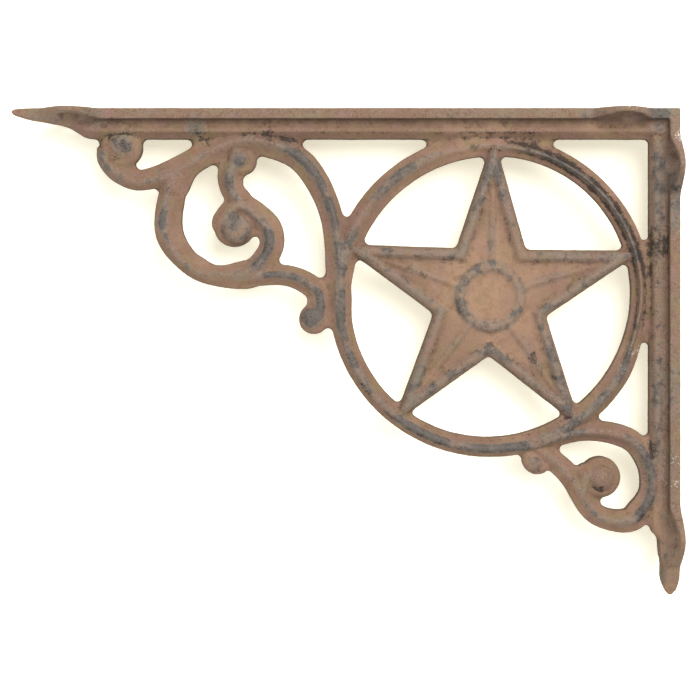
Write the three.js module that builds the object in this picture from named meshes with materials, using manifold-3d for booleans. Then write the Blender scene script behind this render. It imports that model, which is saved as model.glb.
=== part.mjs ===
// Ornate cast iron shelf bracket: a star in a ring, scrolls, two flanges with screw ears. One casting.
// Millimetres, +Z up. The wall face is the plane X = 0 and the bracket reaches out along -X.
// Z = 0 is half-way up the wall flange, Y = 0 is the middle plane of the web and -Y is the front.
// In the web a place is given as [distance out from the wall, distance below the shelf face].

import * as THREE from 'three';
import { mergeVertices } from 'three/addons/utils/BufferGeometryUtils.js';
import Module from 'manifold-3d';

const wasm = await Module();
wasm.setup();

// The whole bracket
const reach = 235;
const height = 171.5;
const shelfFace = height / 2;

// Depths of the relief from the middle plane, and the share of a scroll's width that is its flat crest
const edgeDepth = 1.9;
const backDepth = 3.1;
const crestShare = 0.26;

// A cutting solid reaches this far past what it cuts, and points this close together are one
const cutMargin = 1;
const weldDistance = 1e-4;

// The flanges, each measured from the outer corner, with its tip at the far end
const flange = {
  halfWidth: 7,
  edgeThickness: 3.7,
  earHalfWidth: 16,
  earRimThickness: 1.75,
  earLength: 22,
  earFromCorner: 20,
  earFromTip: 21.5,
  earBulgePower: 1.3,
  earSteps: 10,
  gussetRadius: 9,
  gussetSides: 16,
  tipLength: 18,
  tipShares: [0.78, 0.55, 0.33, 0.15, 0.04],
};

// The two flanges meet in a mitre at the corner, each a little past the diagonal
const mitreOverlap = 0.05;

// The countersunk screw holes in the ears
const screwHole = {
  fromMiddle: 9.8,
  throughRadius: 2.7,
  sinkRadius: 4.3,
  landThickness: 0.6,
  shelfFromCorner: 17.5,
  wallFromCorner: 19.8,
  fromTip: 22,
  sides: 20,
};

// The border bar under each flange: a band beside the flange, a ridge, and a bevel to the openings
const border = {
  shelf: {
    depth: 10.7,
    bandEnd: 6.9,
    bandDepth: 3.5,
    ridgeStart: 7.3,
    ridgeEnd: 8.5,
    ridgeDepth: 4.2,
  },
  wall: {
    depth: 10,
    bandEnd: 5.4,
    bandDepth: 3.2,
    ridgeStart: 6.2,
    ridgeEnd: 8.2,
    ridgeDepth: 4.5,
  },
};

// Each tip seen from the front: how its rib runs out, and how its nose leaves the outer face.
// Points are [distance from the tip's end, depth under the face].
const tips = {
  shelf: {
    rib: [
      [30, 11],
      [27, 10.2],
      [24.5, 8.6],
      [21, 6.8],
      [17, 5.6],
      [11, 4.5],
      [5, 3.4],
      [1.5, 2.4],
    ],
    nose: [
      [0, 1.5],
      [0, 0.5],
      [1.5, 0],
    ],
  },
  wall: {
    rib: [
      [30, 11],
      [27, 10.2],
      [23.7, 9.4],
      [21, 7.1],
      [16, 6.4],
      [10, 5.8],
      [4, 5],
      [1, 3.9],
    ],
    nose: [
      [0, 3],
      [0.3, 2.1],
      [2, 0.8],
      [6, 0],
    ],
  },
};

// The ring
const ring = {
  out: 66.05,
  below: 65.8,
  innerRadius: 49.5,
  outerRadius: 57,
  crestRadius: 53.8,
  crestHalfWidth: 0.8,
  crestDepth: 4.9,
  backHalfWidth: 1.4,
  segments: 72,
};

// The star: a slab, a raised border round a sunk field, five ridges, and a boss with a dished middle
const star = {
  out: 66.05,
  below: 66.2,
  turnDegrees: -1.3,
  tipRadius: 56.6,
  notchRadius: 20.9,
  borderDepth: 3.9,
  borderFoot: 0.7,
  borderCrestOuter: 1.4,
  borderCrestInner: 2.7,
  fieldEdge: 3.5,
  fieldDepth: 2.2,
  ridgeInset: 3.3,
  ridgeFoot: 1.6,
  ridgeDepth: 4.6,
  backInset: 1.5,
};
const boss = {
  outerRadius: 12.4,
  crestOuter: 11.3,
  crestInner: 9.9,
  dishRadius: 9.2,
  crestDepth: 4.7,
  dishDepth: 3.5,
  segments: 40,
};

// The scrolls: a crested bar along each path, whose points are [out, below, half-width]
const stepsPerSpan = 3;
const scrolls = {
  arc: {
    crestDepth: 4.6,
    lean: -0.15,
    path: [
      [177.5, 27, 5.3],
      [170.5, 18.9, 3.8],
      [153.7, 12, 4.2],
      [137.7, 15.1, 4.2],
      [128.5, 23.3, 4.3],
      [121.7, 39.3, 4],
      [119.5, 62.6, 4.4],
      [119.4, 74.4, 4.5],
    ],
  },
  curl: {
    crestDepth: 4.2,
    lean: 0.2,
    path: [
      [165.2, 13.9, 3.5],
      [178.3, 21.7, 4],
      [189.7, 25, 3.7],
      [196.7, 21.7, 4.4],
      [201.3, 18.1, 3.2],
      [201.2, 13.8, 3.7],
    ],
  },
  spiral: {
    crestDepth: 4.7,
    lean: 0.2,
    path: [
      [170.4, 18.6, 3.3],
      [176.4, 23.7, 4.3],
      [179.6, 42.2, 4.9],
      [172.4, 54.1, 4],
      [163, 58.7, 3.7],
      [150.4, 58, 5.1],
      [144.6, 51.4, 4.3],
      [143.1, 45.9, 4.4],
      [145.4, 40, 4.4],
      [154.1, 33.6, 3.8],
      [160.4, 39.2, 3.7],
      [161, 43, 2.6],
    ],
  },
  bud: {
    crestDepth: 4.1,
    lean: 0,
    path: [
      [153.3, 16.8, 5.3],
      [157.4, 22.1, 4.8],
      [157.2, 28.1, 4.1],
      [154, 32.7, 4.2],
    ],
  },
  tail: {
    crestDepth: 4.3,
    lean: 0,
    path: [
      [156.2, 60, 3.1],
      [138.7, 58.6, 3.7],
      [128.1, 63.3, 4],
      [126.1, 69, 4.5],
      [126.9, 75.7, 4.2],
    ],
  },
  foot: {
    crestDepth: 4.5,
    lean: 0,
    path: [
      [62, 119.4, 2],
      [52, 119, 2.6],
      [33.3, 113.7, 3.4],
      [17.8, 116.1, 3.9],
      [10.7, 124.3, 3.8],
      [9.5, 134.4, 3.7],
      [13.2, 142, 4.5],
      [17.7, 145.3, 4.2],
      [25.7, 144.4, 3.7],
      [31.1, 140.4, 3.9],
      [37.8, 129.5, 3.9],
      [46.8, 121.4, 3.5],
      [50.5, 118.4, 2.8],
    ],
  },
  hook: {
    crestDepth: 4,
    lean: 0,
    path: [
      [30.4, 141.6, 2.6],
      [33.2, 136.5, 2.4],
      [32.9, 130.3, 4],
      [30.6, 127.8, 4],
    ],
  },
};

// The knobs that the scrolls end in: a rim, and a dome that may sit off its centre
const knobForm = { segments: 24, rimHeight: 0.9, rimBevel: 0.8, domeSteps: 4 };
const knobs = {
  curl: { out: 196.1, below: 13.5, rimRadius: 7.4, domeRadius: 4.7, domeDepth: 5.4 },
  spiral: { out: 156.3, below: 41.5, rimRadius: 7.2, domeRadius: 5.2, domeDepth: 5.6 },
  bud: { out: 153.5, below: 18.3, rimRadius: 5, domeRadius: 3, domeDepth: 5 },
  tail: { out: 128.2, below: 74.1, rimRadius: 5.3, domeRadius: 3.4, domeDepth: 5.1 },
  foot: { out: 27.3, below: 129.8, rimRadius: 7.2, domeRadius: 4.6, domeDepth: 5.3 },
  footBud: { out: 49.5, below: 123.6, rimRadius: 5.3, domeRadius: 3, domeDepth: 4.9 },
};

// Until the last turn, x runs towards the wall, y up, and z from the middle plane to the front
function webPoint(out, below) {
  return new THREE.Vector2(-out, shelfFace - below);
}

function toSolid(geometry) {
  geometry.deleteAttribute('normal');
  geometry.deleteAttribute('uv');
  const merged = mergeVertices(geometry, weldDistance);
  const corners = merged.index.array;
  const kept = [];
  for (let i = 0; i < corners.length; i += 3) {
    const [a, b, c] = corners.slice(i, i + 3);
    if (a !== b && b !== c && c !== a) {
      kept.push(a, b, c);
    }
  }
  return new wasm.Manifold(new wasm.Mesh({
    numProp: 3,
    vertProperties: new Float32Array(merged.attributes.position.array),
    triVerts: new Uint32Array(kept),
  }));
}

function toGeometry(solid) {
  const mesh = solid.getMesh();
  const geometry = new THREE.BufferGeometry();
  geometry.setAttribute('position', new THREE.BufferAttribute(mesh.vertProperties, mesh.numProp));
  geometry.setIndex(new THREE.BufferAttribute(mesh.triVerts, 1));
  return geometry;
}

function extrude(points, depth) {
  return new THREE.ExtrudeGeometry(new THREE.Shape(points), { depth, bevelEnabled: false });
}

function vectors(pairs) {
  return pairs.map(([x, y]) => new THREE.Vector2(x, y));
}

// A round form about the front-to-back axis, from [radius, depth] points that start and end on the axis
function turned(profile, segments, out, below) {
  const geometry = new THREE.LatheGeometry(vectors(profile), segments);
  geometry.rotateX(Math.PI / 2);
  const centre = webPoint(out, below);
  geometry.translate(centre.x, centre.y, 0);
  return toSolid(geometry);
}

// A bar whose eight-sided section has a flat crest in front, a lower one behind, and thin edges
function scrollSolid({ path, crestDepth, lean }) {
  const curve = new THREE.CatmullRomCurve3(path.map(([out, below, half]) => {
    const place = webPoint(out, below);
    return new THREE.Vector3(place.x, place.y, half);
  }), false, 'catmullrom', 0.5);
  const sides = 8;
  const stations = (path.length - 1) * stepsPerSpan;
  const geometry = new THREE.CylinderGeometry(1, 1, 1, sides, stations, false, Math.PI / sides);
  const position = geometry.attributes.position;
  for (let i = 0; i < position.count; i += 1) {
    const share = THREE.MathUtils.clamp(position.getY(i) + 0.5, 0, 1);
    const station = curve.getPoint(share);
    const tangent = curve.getTangent(share).setZ(0).normalize();
    const [across, depth] = sectionPoint(position.getX(i), position.getZ(i), station.z, crestDepth, lean);
    position.setXYZ(i, station.x + tangent.y * across, station.y - tangent.x * across, depth);
  }
  return toSolid(geometry);
}

function sectionPoint(x, z, half, crestDepth, lean) {
  if (Math.hypot(x, z) < 0.5) {
    return [0, 0];
  }
  if (Math.abs(x) > Math.abs(z)) {
    return [Math.sign(x) * half, Math.sign(z) * edgeDepth];
  }
  const across = (Math.sign(x) * crestShare + lean) * half;
  return [across, z > 0 ? crestDepth : -backDepth];
}

function knobSolid({ out, below, rimRadius, domeRadius, domeDepth }) {
  const { segments, rimHeight, rimBevel, domeSteps } = knobForm;
  const rimDepth = edgeDepth + rimHeight;
  const profile = [[0, -backDepth], [rimRadius - rimBevel, -backDepth], [rimRadius, -edgeDepth]];
  profile.push([rimRadius, edgeDepth], [rimRadius - rimBevel, rimDepth], [domeRadius, rimDepth]);
  for (let i = 1; i <= domeSteps; i += 1) {
    const angle = (i / domeSteps) * Math.PI / 2;
    profile.push([domeRadius * Math.cos(angle), rimDepth + (domeDepth - rimDepth) * Math.sin(angle)]);
  }
  profile[profile.length - 1][0] = 0;
  return turned(profile, segments, out, below);
}

function ringSolid() {
  const profile = [
    [ring.innerRadius, -edgeDepth],
    [ring.crestRadius - ring.backHalfWidth, -backDepth],
    [ring.crestRadius + ring.backHalfWidth, -backDepth],
    [ring.outerRadius, -edgeDepth],
    [ring.outerRadius, edgeDepth],
    [ring.crestRadius + ring.crestHalfWidth, ring.crestDepth],
    [ring.crestRadius - ring.crestHalfWidth, ring.crestDepth],
    [ring.innerRadius, edgeDepth],
    [ring.innerRadius, -edgeDepth],
  ];
  return turned(profile, ring.segments, ring.out, ring.below);
}

// A star-shaped prism whose outline at each end is the star's, drawn in by an inset
function starPrism(insetBack, insetFront, depthBack, depthFront) {
  const notchHalf = Math.PI / 5;
  const along = star.tipRadius - star.notchRadius * Math.cos(notchHalf);
  const tipHalf = Math.atan2(star.notchRadius * Math.sin(notchHalf), along);
  const cornerAngle = Math.PI - tipHalf - notchHalf;
  const geometry = new THREE.CylinderGeometry(1, 1, 1, 10, 1);
  const position = geometry.attributes.position;
  const turn = THREE.MathUtils.degToRad(star.turnDegrees);
  const centre = webPoint(star.out, star.below);
  for (let i = 0; i < position.count; i += 1) {
    const isFront = position.getY(i) > 0;
    const inset = isFront ? insetFront : insetBack;
    const angle = Math.atan2(position.getX(i), position.getZ(i));
    const isTip = Math.round(angle / notchHalf) % 2 === 0;
    const tip = star.tipRadius - inset / Math.sin(tipHalf);
    const notch = star.notchRadius - inset / Math.sin(cornerAngle);
    const onAxis = Math.hypot(position.getX(i), position.getZ(i)) < 0.5;
    const radius = onAxis ? 0 : Math.max(isTip ? tip : notch, 0);
    const heading = Math.PI / 2 + turn + angle;
    const depth = isFront ? depthFront : depthBack;
    const x = centre.x + radius * Math.cos(heading);
    const y = centre.y + radius * Math.sin(heading);
    position.setXYZ(i, x, y, depth);
  }
  return toSolid(geometry);
}

function starSolid() {
  const slab = starPrism(0, 0, -edgeDepth, edgeDepth);
  const back = starPrism(star.backInset, 0, -backDepth, -edgeDepth);
  const borderBlock = starPrism(star.borderFoot, star.borderCrestOuter, 0, star.borderDepth);
  const field = starPrism(star.fieldEdge, star.borderCrestInner, star.fieldDepth, star.borderDepth + cutMargin);
  // Drawn in by its whole notch radius, the front end closes to a point and leaves one ridge along each arm
  const ridges = starPrism(star.ridgeInset, star.notchRadius, star.ridgeFoot, star.ridgeDepth);
  const dishProfile = [[0, boss.dishDepth], [boss.dishRadius, boss.dishDepth]];
  dishProfile.push([boss.crestInner, boss.crestDepth], [boss.crestInner, boss.crestDepth + cutMargin]);
  dishProfile.push([0, boss.crestDepth + cutMargin]);
  const bossBlock = [[0, 0], [boss.outerRadius, 0], [boss.outerRadius, star.fieldDepth]];
  bossBlock.push([boss.crestOuter, boss.crestDepth], [0, boss.crestDepth]);
  const bossSolid = turned(bossBlock, boss.segments, star.out, star.below);
  const dish = turned(dishProfile, boss.segments, star.out, star.below);
  return slab.add(back).add(borderBlock).subtract(field).add(ridges).add(bossSolid).subtract(dish);
}

// Half-width of a flange at a distance from the corner: strip, two ear bulges and a rounded tip
function flangeHalfWidth(distance, length) {
  const fromTip = length - distance;
  let half = flange.halfWidth;
  if (fromTip < flange.tipLength) {
    half *= Math.sqrt(1 - (1 - fromTip / flange.tipLength) ** 2);
  }
  for (const ear of [flange.earFromCorner, length - flange.earFromTip]) {
    const offset = Math.abs(distance - ear) / (flange.earLength / 2);
    if (offset < 1) {
      const bulge = Math.cos(offset * Math.PI / 2) ** flange.earBulgePower;
      half += (flange.earHalfWidth - flange.halfWidth) * bulge;
    }
  }
  return half;
}

function flangeStations(length) {
  const stations = [-mitreOverlap];
  const { earSteps } = flange;
  for (const ear of [flange.earFromCorner, length - flange.earFromTip]) {
    for (let i = 0; i <= earSteps; i += 1) {
      stations.push(ear + (i / earSteps - 0.5) * flange.earLength);
    }
  }
  const tipStart = flange.earFromTip - flange.earLength / 2;
  for (const share of flange.tipShares) {
    stations.push(length - tipStart * share);
  }
  return stations;
}

// How much a flange thins with each millimetre out towards an ear's rim
function earSlope() {
  return (flange.edgeThickness - flange.earRimThickness) / (flange.earHalfWidth - flange.halfWidth);
}

// A section given as [depth under the face, across] points, drawn out along the flange
function alongFlange(section, length) {
  const geometry = extrude(vectors(section), length + cutMargin);
  geometry.applyMatrix4(new THREE.Matrix4().makeBasis(
    new THREE.Vector3(0, 1, 0),
    new THREE.Vector3(0, 0, 1),
    new THREE.Vector3(1, 0, 0),
  ));
  return toSolid(geometry);
}

function stripSection() {
  const outerHalf = flange.earHalfWidth + cutMargin;
  const rim = flange.earRimThickness - earSlope() * cutMargin;
  return [
    [0, -outerHalf],
    [rim, -outerHalf],
    [flange.edgeThickness, -flange.halfWidth],
    [flange.edgeThickness, flange.halfWidth],
    [rim, outerHalf],
    [0, outerHalf],
  ];
}

function barSection(bar) {
  return [
    [0, -backDepth],
    [bar.ridgeEnd, -backDepth],
    [bar.depth, -edgeDepth],
    [bar.depth, edgeDepth],
    [bar.ridgeEnd, bar.ridgeDepth],
    [bar.ridgeStart, bar.ridgeDepth],
    [bar.bandEnd, bar.bandDepth],
    [0, bar.bandDepth],
  ];
}

// The ear's slope carried on to the web, round each screw
function gussetSolid(distance) {
  const apex = flange.edgeThickness + earSlope() * flange.halfWidth;
  const slopes = alongFlange([
    [0, -flange.earHalfWidth],
    [flange.earRimThickness, -flange.earHalfWidth],
    [apex, 0],
    [flange.earRimThickness, flange.earHalfWidth],
    [0, flange.earHalfWidth],
  ], distance + flange.earLength);
  const { gussetRadius, gussetSides } = flange;
  const rounds = [-1, 1].map((side) => {
    const geometry = new THREE.CylinderGeometry(gussetRadius, gussetRadius, 2 * apex, gussetSides);
    geometry.translate(distance, 0, side * screwHole.fromMiddle);
    return toSolid(geometry);
  });
  return slopes.intersect(rounds[0].add(rounds[1]));
}

// A flange with its border bar, in its own frame: x from the corner, y under the outer face, z across
function flangeSolid(length, bar, tip, holeFromCorner) {
  const stations = flangeStations(length);
  const upper = stations.map((distance) => [distance, flangeHalfWidth(distance, length)]);
  const lower = upper.map(([distance, half]) => [distance, -half]).reverse();
  const plan = extrude(vectors([...upper, [length, 0], ...lower]), bar.depth + cutMargin);
  plan.rotateX(-Math.PI / 2);

  const outerHalf = flange.earHalfWidth + cutMargin;
  const mitre = bar.depth + cutMargin;
  const fromCorner = ([fromTip, depth]) => [length - fromTip, depth];
  const sideOutline = [[-mitreOverlap, 0], [mitre - mitreOverlap, mitre]];
  sideOutline.push(...tip.rib.map(fromCorner), ...tip.nose.map(fromCorner));
  const side = extrude(vectors(sideOutline), 2 * outerHalf);
  side.translate(0, 0, -outerHalf);

  const screws = [holeFromCorner, length - screwHole.fromTip];
  let solid = alongFlange(stripSection(), length).add(alongFlange(barSection(bar), length));
  for (const distance of screws) {
    solid = solid.add(gussetSolid(distance));
  }
  solid = solid.intersect(toSolid(plan)).intersect(toSolid(side));
  for (const distance of screws) {
    for (const across of [-screwHole.fromMiddle, screwHole.fromMiddle]) {
      solid = solid.subtract(holeSolid(distance, across));
    }
  }
  return solid;
}

// A screw hole through an ear, widest at the sloping inner face where the screw's head sits
function holeSolid(distance, across) {
  const { throughRadius, sinkRadius, landThickness } = screwHole;
  const innerFace = flange.edgeThickness - earSlope() * (screwHole.fromMiddle - flange.halfWidth);
  const flare = (sinkRadius - throughRadius) / (innerFace - landThickness);
  const top = innerFace + 2 * cutMargin;
  const profile = [
    [0, -cutMargin],
    [throughRadius, -cutMargin],
    [throughRadius, landThickness],
    [throughRadius + flare * (top - landThickness), top],
    [0, top],
  ];
  const geometry = new THREE.LatheGeometry(vectors(profile), screwHole.sides);
  geometry.translate(distance, 0, across);
  return toSolid(geometry);
}

function shelfFlange() {
  const frame = new THREE.Matrix4().makeRotationZ(Math.PI);
  frame.setPosition(0, shelfFace, 0);
  return flangeSolid(reach, border.shelf, tips.shelf, screwHole.shelfFromCorner).transform(frame.elements);
}

function wallFlange() {
  const frame = new THREE.Matrix4().makeBasis(
    new THREE.Vector3(0, -1, 0),
    new THREE.Vector3(-1, 0, 0),
    new THREE.Vector3(0, 0, 1),
  );
  frame.setPosition(0, shelfFace, 0);
  return flangeSolid(height, border.wall, tips.wall, screwHole.wallFromCorner).transform(frame.elements);
}

function castingSolid() {
  let solid = shelfFlange().add(wallFlange());
  solid = solid.add(ringSolid());
  for (const scroll of Object.values(scrolls)) {
    solid = solid.add(scrollSolid(scroll));
  }
  for (const knob of Object.values(knobs)) {
    solid = solid.add(knobSolid(knob));
  }
  return solid.add(starSolid());
}

const rustedIron = new THREE.MeshStandardMaterial({ color: 0x8a6a58, roughness: 0.8, metalness: 0.35 });

const bracketGeometry = toGeometry(castingSolid());
bracketGeometry.rotateX(Math.PI / 2);
const bracketMesh = new THREE.Mesh(bracketGeometry, rustedIron);
bracketMesh.name = 'bracket';

const bracket = new THREE.Group();
bracket.add(bracketMesh);

export default bracket;
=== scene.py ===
import math
import bpy
import bmesh
import numpy as np
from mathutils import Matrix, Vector


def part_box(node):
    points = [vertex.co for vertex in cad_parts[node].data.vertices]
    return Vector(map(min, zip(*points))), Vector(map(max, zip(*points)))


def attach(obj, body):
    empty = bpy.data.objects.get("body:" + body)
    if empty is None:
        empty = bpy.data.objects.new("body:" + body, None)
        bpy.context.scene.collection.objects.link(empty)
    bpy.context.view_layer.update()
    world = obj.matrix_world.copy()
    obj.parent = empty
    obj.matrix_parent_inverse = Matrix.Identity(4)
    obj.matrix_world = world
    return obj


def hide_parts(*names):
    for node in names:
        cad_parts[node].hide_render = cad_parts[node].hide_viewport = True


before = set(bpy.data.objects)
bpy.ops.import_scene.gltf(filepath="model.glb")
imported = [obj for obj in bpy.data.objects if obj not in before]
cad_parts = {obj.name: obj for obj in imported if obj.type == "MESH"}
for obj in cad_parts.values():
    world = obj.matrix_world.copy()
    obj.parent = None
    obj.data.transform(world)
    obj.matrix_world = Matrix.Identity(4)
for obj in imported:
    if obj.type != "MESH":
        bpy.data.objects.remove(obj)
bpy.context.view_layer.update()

# The casting is made in metres from millimetre values.
# +X runs to the wall, +Z is up, and -Y is the decorated front.
mm = 0.001
frameLow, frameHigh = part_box("bracket")
shelfFace = frameHigh[2] / mm
reach = -frameLow[0] / mm
height = (frameHigh[2] - frameLow[2]) / mm
scene = bpy.context.scene


def webPoint(out, below, depth=0.0):
    # Out from the wall, below the shelf, towards the front
    return Vector((-out, -depth, shelfFace - below)) * mm


def addObject(name, mesh):
    piece = bpy.data.objects.new(name, mesh)
    scene.collection.objects.link(piece)
    return piece


def bakedMesh(piece):
    bpy.context.view_layer.update()
    graph = bpy.context.evaluated_depsgraph_get()
    return bpy.data.meshes.new_from_object(piece.evaluated_get(graph), depsgraph=graph)


def threeEach(items, kind):
    flat = np.empty(len(items) * 3)
    items.foreach_get(kind, flat)
    return flat.reshape(-1, 3)


# A small kit for building node trees
class NodeKit:
    def __init__(self, tree):
        self.tree = tree

    def node(self, kind, values=None, **settings):
        made = self.tree.nodes.new(kind)
        for name, value in settings.items():
            setattr(made, name, value)
        for name, value in (values or {}).items():
            self.feed(made.inputs[name], value)
        return made

    def feed(self, socket, value):
        if isinstance(value, bpy.types.NodeSocket):
            self.tree.links.new(value, socket)
        else:
            socket.default_value = value

    def math(self, operation, first, second=None):
        made = self.node("ShaderNodeMath", operation=operation)
        self.feed(made.inputs[0], first)
        if second is not None:
            self.feed(made.inputs[1], second)
        return made.outputs[0]

    def vector(self, operation, first, second, output="Vector"):
        made = self.node("ShaderNodeVectorMath", operation=operation)
        self.feed(made.inputs[0], first)
        self.feed(made.inputs["Scale" if operation == "SCALE" else 1], second)
        return made.outputs[output]

    def coat(self, result, geometry, material):
        coated = self.node("GeometryNodeSetMaterial", {"Geometry": geometry, "Material": material})
        self.feed(result.inputs[0], coated.outputs[0])


def newTree(name, sockets):
    tree = bpy.data.node_groups.new(name, "GeometryNodeTree")
    tree.interface.new_socket("Geometry", in_out="INPUT", socket_type="NodeSocketGeometry")
    for label, kind in sockets:
        tree.interface.new_socket(label, in_out="INPUT", socket_type=kind)
    tree.interface.new_socket("Geometry", in_out="OUTPUT", socket_type="NodeSocketGeometry")
    kit = NodeKit(tree)
    return tree, kit, kit.node("NodeGroupInput"), kit.node("NodeGroupOutput")


def runTree(piece, tree, values):
    modifier = piece.modifiers.new(tree.name, "NODES")
    modifier.node_group = tree
    for item in tree.interface.items_tree:
        if item.in_out == "INPUT" and item.name in values:
            modifier[item.identifier] = values[item.name]
    mesh = bakedMesh(piece)
    bpy.data.objects.remove(piece)
    return mesh


# Geometry Nodes: a bar along a path. The path's radius is the bar's half-width, and its tilt the strength
# of the bead. The section has thin edges, a shoulder, and a round bead that may lean to one side.
def buildBarTree():
    tree, kit, given, result = newTree("bar along a path", [
        ("Stations", "NodeSocketInt"), ("Section Points", "NodeSocketInt"),
        ("Edge Depth", "NodeSocketFloat"), ("Shoulder Depth", "NodeSocketFloat"),
        ("Bevel Share", "NodeSocketFloat"), ("Bead Height", "NodeSocketFloat"),
        ("Bead Width", "NodeSocketFloat"), ("Bead Lean", "NodeSocketFloat"),
        ("Back Depth", "NodeSocketFloat"),
        ("Material", "NodeSocketMaterial")])
    sockets = given.outputs
    tube = kit.node("GeometryNodeMeshCylinder", {
        "Vertices": sockets["Section Points"], "Side Segments": sockets["Stations"],
        "Radius": 1.0, "Depth": 1.0})
    place = kit.node("ShaderNodeSeparateXYZ", {0: kit.node("GeometryNodeInputPosition").outputs[0]})
    across, side, share = place.outputs
    sample = kit.node("GeometryNodeSampleCurve", {
        "Curves": sockets["Geometry"], "Value": kit.node("GeometryNodeInputRadius").outputs[0],
        "Factor": kit.math("ADD", share, 0.5)}, mode="FACTOR", data_type="FLOAT")
    strength = kit.node("GeometryNodeSampleCurve", {
        "Curves": sockets["Geometry"], "Value": kit.node("GeometryNodeInputCurveTilt").outputs[0],
        "Factor": kit.math("ADD", share, 0.5)}, mode="FACTOR", data_type="FLOAT").outputs["Value"]
    front = (0.0, -1.0, 0.0)
    bellPower = 2.4  # a bead a little fuller than a bell
    middleBand = 0.001  # what is nearer to the middle plane than this stays in it
    sideways = kit.vector("CROSS_PRODUCT", sample.outputs["Tangent"], front)
    inward = kit.math("SUBTRACT", 1.0, kit.math("ABSOLUTE", across))
    shoulderShare = kit.node("ShaderNodeMapRange", {
        "Value": inward, "From Max": sockets["Bevel Share"]}, interpolation_type="SMOOTHSTEP").outputs[0]
    rise = kit.math("SUBTRACT", sockets["Shoulder Depth"], sockets["Edge Depth"])
    shoulder = kit.math("ADD", sockets["Edge Depth"], kit.math("MULTIPLY", rise, shoulderShare))
    offset = kit.math("DIVIDE", kit.math("SUBTRACT", across, sockets["Bead Lean"]), sockets["Bead Width"])
    steep = kit.math("POWER", kit.math("ABSOLUTE", offset), bellPower)
    bell = kit.math("EXPONENT", kit.math("MULTIPLY", steep, -1.0))
    bead = kit.math("MULTIPLY", kit.math("MULTIPLY", bell, strength), sockets["Bead Height"])
    frontDepth = kit.math("ADD", shoulder, bead)
    backRise = kit.math("SUBTRACT", sockets["Back Depth"], sockets["Edge Depth"])
    backShare = kit.math("SUBTRACT", 1.0, kit.math("MULTIPLY", across, across))
    backDepth = kit.math("ADD", sockets["Edge Depth"], kit.math("MULTIPLY", backRise, backShare))
    isFront = kit.math("LESS_THAN", side, -middleBand)
    isBack = kit.math("GREATER_THAN", side, middleBand)
    depth = kit.math("SUBTRACT", kit.math("MULTIPLY", frontDepth, isFront),
                     kit.math("MULTIPLY", backDepth, isBack))
    width = kit.math("MULTIPLY", across, sample.outputs["Value"])
    spot = kit.vector("ADD", sample.outputs["Position"], kit.vector("SCALE", sideways, width))
    spot = kit.vector("ADD", spot, kit.vector("SCALE", front, depth))
    moved = kit.node("GeometryNodeSetPosition", {"Geometry": tube.outputs["Mesh"], "Position": spot})
    real = kit.node("GeometryNodeRealizeInstances", {"Geometry": moved.outputs[0]})
    kit.coat(result, real.outputs[0], sockets["Material"])
    return tree


# Geometry Nodes: copies of one piece turned round the front-to-back axis
def buildRoundTree():
    tree, kit, given, result = newTree("copies round a centre", [
        ("Count", "NodeSocketInt"), ("Turn", "NodeSocketFloat"), ("Centre", "NodeSocketVector"),
        ("Material", "NodeSocketMaterial")])
    sockets = given.outputs
    spots = kit.node("GeometryNodeMeshLine", {"Count": sockets["Count"], "Offset": (0.0, 0.0, 0.0)})
    step = kit.math("DIVIDE", 2 * math.pi, sockets["Count"])
    angle = kit.math("MULTIPLY", kit.node("GeometryNodeInputIndex").outputs[0], step)
    heading = kit.node("ShaderNodeCombineXYZ", {"Y": kit.math("ADD", angle, sockets["Turn"])})
    copies = kit.node("GeometryNodeInstanceOnPoints", {
        "Points": spots.outputs[0], "Instance": sockets["Geometry"], "Rotation": heading.outputs[0]})
    real = kit.node("GeometryNodeRealizeInstances", {"Geometry": copies.outputs[0]})
    placed = kit.node("GeometryNodeTransform", {
        "Geometry": real.outputs[0], "Translation": sockets["Centre"]})
    kit.coat(result, placed.outputs[0], sockets["Material"])
    return tree


# Geometry Nodes: the skin of a sand casting, a fine and a broad unevenness along the normals
def buildSkinTree():
    tree, kit, given, result = newTree("cast skin", [
        ("Sand Size", "NodeSocketFloat"), ("Sand Height", "NodeSocketFloat"),
        ("Wave Size", "NodeSocketFloat"), ("Wave Height", "NodeSocketFloat"),
        ("Material", "NodeSocketMaterial")])
    sockets = given.outputs
    normal = kit.node("GeometryNodeInputNormal").outputs[0]
    total = None
    for size, heightName in (("Sand Size", "Sand Height"), ("Wave Size", "Wave Height")):
        noise = kit.node("ShaderNodeTexNoise", {
            "Scale": kit.math("DIVIDE", 1.0, sockets[size]), "Detail": 2.0, "Roughness": 0.6})
        swing = kit.math("MULTIPLY", kit.math("SUBTRACT", noise.outputs[0], 0.5), sockets[heightName])
        total = swing if total is None else kit.math("ADD", total, swing)
    moved = kit.node("GeometryNodeSetPosition", {
        "Geometry": sockets["Geometry"], "Offset": kit.vector("SCALE", normal, total)})
    real = kit.node("GeometryNodeRealizeInstances", {"Geometry": moved.outputs[0]})
    kit.coat(result, real.outputs[0], sockets["Material"])
    return tree


barTree = buildBarTree()
roundTree = buildRoundTree()
skinTree = buildSkinTree()
print("node trees built")


def smoothPath(points, stepsPerSpan=8):
    # A smooth curve through [out, below, half-width] points, which may end with the bead's strength
    spots = [np.array((*point, 1.0)[:4], float) for point in points]
    spots = [2 * spots[0] - spots[1], *spots, 2 * spots[-1] - spots[-2]]
    path = []
    for a, b, c, d in zip(spots, spots[1:], spots[2:], spots[3:]):
        for step in range(stepsPerSpan):
            t = step / stepsPerSpan
            path.append(0.5 * (2 * b + (c - a) * t + (2 * a - 5 * b + 4 * c - d) * t ** 2
                               + (3 * b - a - 3 * c + d) * t ** 3))
    path.append(spots[-2])
    return path


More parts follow.
